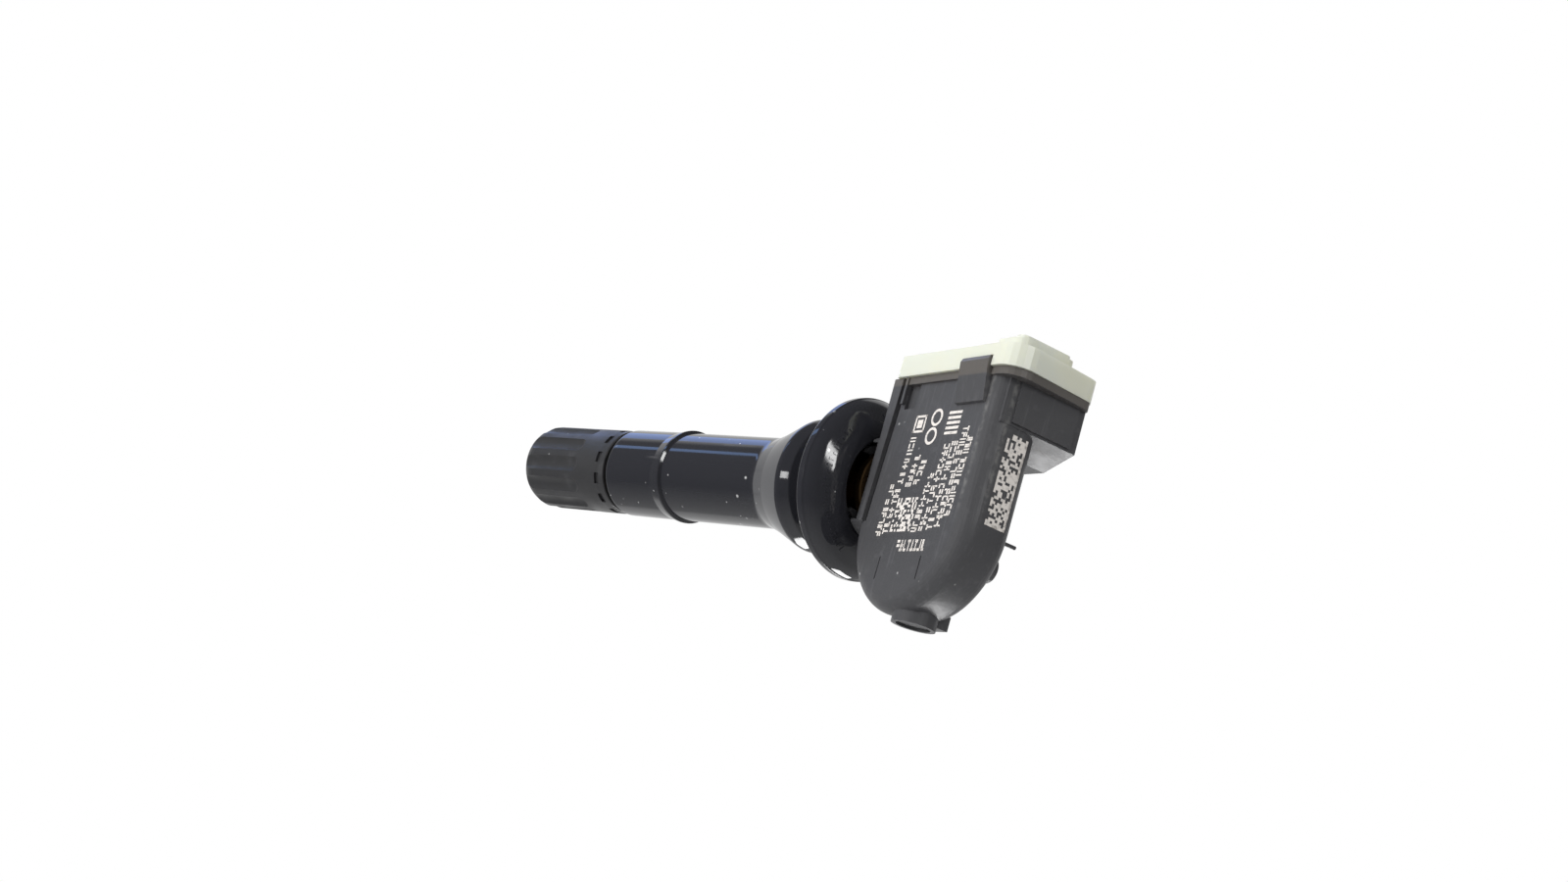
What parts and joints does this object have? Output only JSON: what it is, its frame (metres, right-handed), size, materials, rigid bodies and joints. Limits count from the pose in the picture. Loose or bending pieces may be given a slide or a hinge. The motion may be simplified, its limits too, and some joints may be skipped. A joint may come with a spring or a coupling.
{
  "type": "tyre pressure sensor",
  "caption": "Snap-in rubber tyre valve with a cap, carrying a radio pressure sensor case with a clipped-on lid behind the wheel rim.",
  "frame": {"origin": "centre of the valve flange's seating face, on the valve's axis", "axes": "+Z along the valve towards its cap, +Y from the case's round end to its lid, +X towards the case's front face"},
  "size_m": [0.0196, 0.0296, 0.0789],
  "materials": {
    "valve_rubber": "moulded rubber, semi-gloss",
    "valve_stem": "turned brass",
    "core_plug": "turned brass",
    "core_barrel": "turned brass",
    "core_gasket": "red seal",
    "core_spring": "spring wire",
    "core_pin": "drawn brass",
    "core_cup": "pressed brass",
    "core_washer": "seat washer",
    "valve_cap": "moulded black plastic",
    "cap_seal": "flat seal",
    "case": "glass-filled black plastic, fine grain",
    "lid": "pale translucent plastic",
    "port_filter": "white membrane",
    "circuit_board": "green solder mask",
    "battery": "nickel-plated steel can",
    "battery_foam": "foam pad",
    "battery_tab_positive": "plated strip",
    "battery_tab_negative": "plated strip",
    "sensor_chip": "black chip package",
    "chip_leads": "tinned leads",
    "coil_core": "ferrite",
    "coil_winding": "enamelled copper wire",
    "crystal": "metal can",
    "capacitors": "ceramic chips",
    "resistors": "chip resistors",
    "rf_antenna": "bent strip"
  },
  "bodies": {
    "sensor": {"valve_rubber": "valve_rubber", "valve_stem": "valve_stem", "core_plug": "core_plug", "core_barrel": "core_barrel", "core_gasket": "core_gasket", "core_spring": "core_spring", "case": "case", "lid": "lid", "port_filter": "port_filter", "circuit_board": "circuit_board", "battery": "battery", "battery_foam": "battery_foam", "battery_tab_positive": "battery_tab_positive", "battery_tab_negative": "battery_tab_negative", "sensor_chip": "sensor_chip", "chip_leads": "chip_leads", "coil_core": "coil_core", "coil_winding": "coil_winding", "crystal": "crystal", "capacitors": "capacitors", "resistors": "resistors", "rf_antenna": "rf_antenna"},
    "cap_washer": {"cap_seal": "cap_seal"},
    "cap": {"valve_cap": "valve_cap"},
    "valve_pin": {"core_pin": "core_pin", "core_cup": "core_cup", "core_washer": "core_washer"}
  },
  "joints": [
    {"name": "cap_lift", "type": "slide", "parent": "sensor", "child": "cap_washer", "axis": [0, 0, 1], "range_m": [0, 0.00556]},
    {"name": "cap_turn", "type": "hinge", "parent": "cap_washer", "child": "cap", "pos_m": [0, 0, 0.05], "axis": [0, 0, 1], "range_deg": [0, 2520]},
    {"name": "pin_press", "type": "slide", "parent": "sensor", "child": "valve_pin", "axis": [0, 0, -1], "range_m": [0, 0.0012], "stiffness_N_per_m": 800, "springref_m": -0.001, "deforming": ["core_spring"]}
  ],
  "couplings": [
    {"joint": "cap_turn", "follows": "cap_lift", "rad_per_m": 7913.2}
  ]
}
